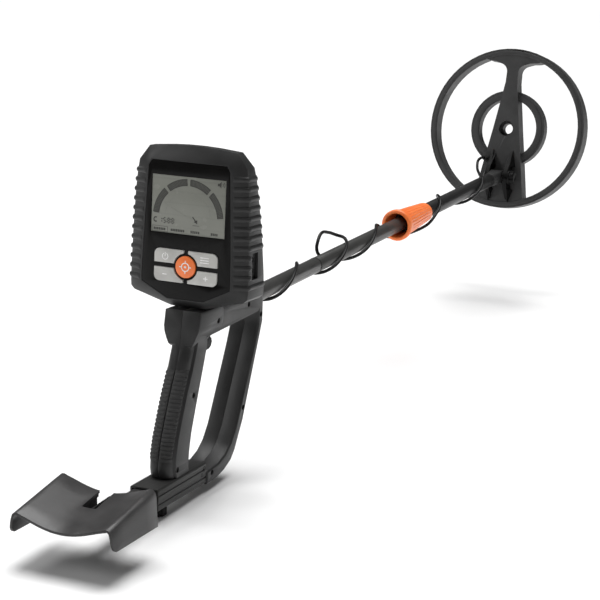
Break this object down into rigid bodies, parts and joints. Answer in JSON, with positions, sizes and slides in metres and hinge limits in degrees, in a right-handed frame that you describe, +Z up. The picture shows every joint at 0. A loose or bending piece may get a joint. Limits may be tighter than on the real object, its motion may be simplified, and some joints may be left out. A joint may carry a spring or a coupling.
{
  "type": "metal detector",
  "caption": "Hand-held metal detector with a D-handle, display box, arm cuff, telescoping shaft with twist lock and a tilting open-ring search coil.",
  "frame": {"origin": "middle of the grip, where the hand closes", "axes": "+Y forward along the shaft, +Z up away from the arm cuff, +X to the user's right"},
  "size_m": [0.25, 1.3805, 0.3793],
  "materials": {
    "tube_grey": "satin anodised grey",
    "tube_black": "satin black",
    "charcoal_plastic": "fine-textured charcoal",
    "beam_metal": "black anodised extrusion",
    "cuff_plastic": "smooth satin charcoal",
    "coil_plastic": "smooth satin dark grey",
    "black_plastic": "satin black",
    "plate_gloss": "glossy black",
    "lcd": "grey-green display",
    "key_grey": "smooth light grey",
    "orange_plastic": "bright orange",
    "grip_rubber": "ribbed black rubber",
    "black_rubber": "black rubber",
    "cable_sheath": "smooth black sheath",
    "screw_steel": "blackened steel",
    "board_green": "printed circuit board",
    "battery_wrap": "battery cells in a carrier",
    "copper": "enamelled copper wire"
  },
  "bodies": {
    "handle": {"upper_tube": "tube_grey", "mid_tube": "tube_grey", "seam_ring": "black_rubber", "tube_ferrule": "charcoal_plastic", "rear_plug": "charcoal_plastic", "handle_right": "charcoal_plastic", "handle_left": "charcoal_plastic", "grip_pad_right": "grip_rubber", "grip_pad_left": "grip_rubber", "frame_screw_1": "screw_steel", "frame_screw_2": "screw_steel", "frame_screw_3": "screw_steel", "frame_screw_4": "screw_steel", "frame_screw_5": "screw_steel", "frame_screw_6": "screw_steel", "frame_screw_7": "screw_steel", "foot_beam": "beam_metal", "box_front": "charcoal_plastic", "box_back": "charcoal_plastic", "face_plate": "plate_gloss", "lcd_panel": "lcd", "circuit_board": "board_green", "speaker": "black_plastic", "battery_pack": "battery_wrap", "side_sockets": "black_plastic", "box_screw_1": "screw_steel", "box_screw_2": "screw_steel", "cable_socket": "black_plastic", "cable_plug": "black_rubber", "cable_upper": "cable_sheath"},
    "trigger": {"trigger": "black_plastic"},
    "battery_door": {"battery_door": "charcoal_plastic"},
    "pad_power": {"pad_power": "key_grey"},
    "pad_menu": {"pad_menu": "key_grey"},
    "pad_minus": {"pad_minus": "key_grey"},
    "pad_plus": {"pad_plus": "key_grey"},
    "pinpoint_button": {"pinpoint_button": "orange_plastic"},
    "plug_nut": {"plug_nut": "black_plastic"},
    "cuff": {"cuff_rail": "cuff_plastic", "rail_fin": "black_plastic", "arm_cuff": "cuff_plastic"},
    "thumb_screw": {"thumb_screw": "black_plastic"},
    "lower_shaft": {"lower_tube": "tube_black", "lock_collet": "black_rubber", "tube_eye": "charcoal_plastic", "cable_lower": "cable_sheath", "cable_tail": "cable_sheath"},
    "lock_collar": {"lock_collar": "orange_plastic"},
    "coil": {"coil_shell": "coil_plastic", "coil_cover": "coil_plastic", "outer_winding": "copper", "inner_winding": "copper", "coil_bolt": "screw_steel", "cable_gland": "black_rubber", "washer_right": "black_rubber", "washer_left": "black_rubber"},
    "coil_knob": {"coil_knob": "black_plastic"}
  },
  "joints": [
    {"name": "trigger_press", "type": "slide", "parent": "handle", "child": "trigger", "axis": [0, -1, 0], "range_m": [0, 0.005], "stiffness_N_per_m": 800},
    {"name": "power_press", "type": "slide", "parent": "handle", "child": "pad_power", "axis": [0, 0.9983, -0.0576], "range_m": [0, 0.0008], "stiffness_N_per_m": 1500},
    {"name": "menu_press", "type": "slide", "parent": "handle", "child": "pad_menu", "axis": [0, 0.9983, -0.0576], "range_m": [0, 0.0008], "stiffness_N_per_m": 1500},
    {"name": "minus_press", "type": "slide", "parent": "handle", "child": "pad_minus", "axis": [0, 0.9983, -0.0576], "range_m": [0, 0.0008], "stiffness_N_per_m": 1500},
    {"name": "plus_press", "type": "slide", "parent": "handle", "child": "pad_plus", "axis": [0, 0.9983, -0.0576], "range_m": [0, 0.0008], "stiffness_N_per_m": 1500},
    {"name": "pinpoint_press", "type": "slide", "parent": "handle", "child": "pinpoint_button", "axis": [0, 0.9983, -0.0576], "range_m": [0, 0.0008], "stiffness_N_per_m": 1500},
    {"name": "battery_door_hinge", "type": "hinge", "parent": "handle", "child": "battery_door", "pos_m": [0, 0.08258, 0.12875], "axis": [-1, 0, 0], "range_deg": [0, 110]},
    {"name": "plug_nut_turn", "type": "hinge", "parent": "handle", "child": "plug_nut", "pos_m": [-0.043, 0.09134, 0.15629], "axis": [0, 0.9983, -0.0576], "range_deg": [0, 360]},
    {"name": "cuff_slide", "type": "slide", "parent": "handle", "child": "cuff", "axis": [0, 0.9996, -0.0279], "range_m": [-0.02, 0.035]},
    {"name": "thumb_screw_turn", "type": "hinge", "parent": "handle", "child": "thumb_screw", "pos_m": [0, -0.03631, -0.09896], "axis": [0, 0.0279, 0.9996], "range_deg": [0, 360]},
    {"name": "lower_shaft_slide", "type": "slide", "parent": "handle", "child": "lower_shaft", "axis": [0, 1, 0], "range_m": [-0.21, 0.04], "deforming": ["cable_upper"]},
    {"name": "lock_collar_twist", "type": "hinge", "parent": "lower_shaft", "child": "lock_collar", "pos_m": [0, 0.69, 0.08], "axis": [0, 1, 0], "range_deg": [0, 90]},
    {"name": "coil_tilt", "type": "hinge", "parent": "lower_shaft", "child": "coil", "pos_m": [0, 1.0705, 0.08], "axis": [1, 0, 0], "range_deg": [-77, 22], "deforming": ["cable_tail"]},
    {"name": "coil_knob_turn", "type": "hinge", "parent": "coil", "child": "coil_knob", "pos_m": [0, 1.0705, 0.08], "axis": [1, 0, 0], "range_deg": [0, 360]}
  ]
}
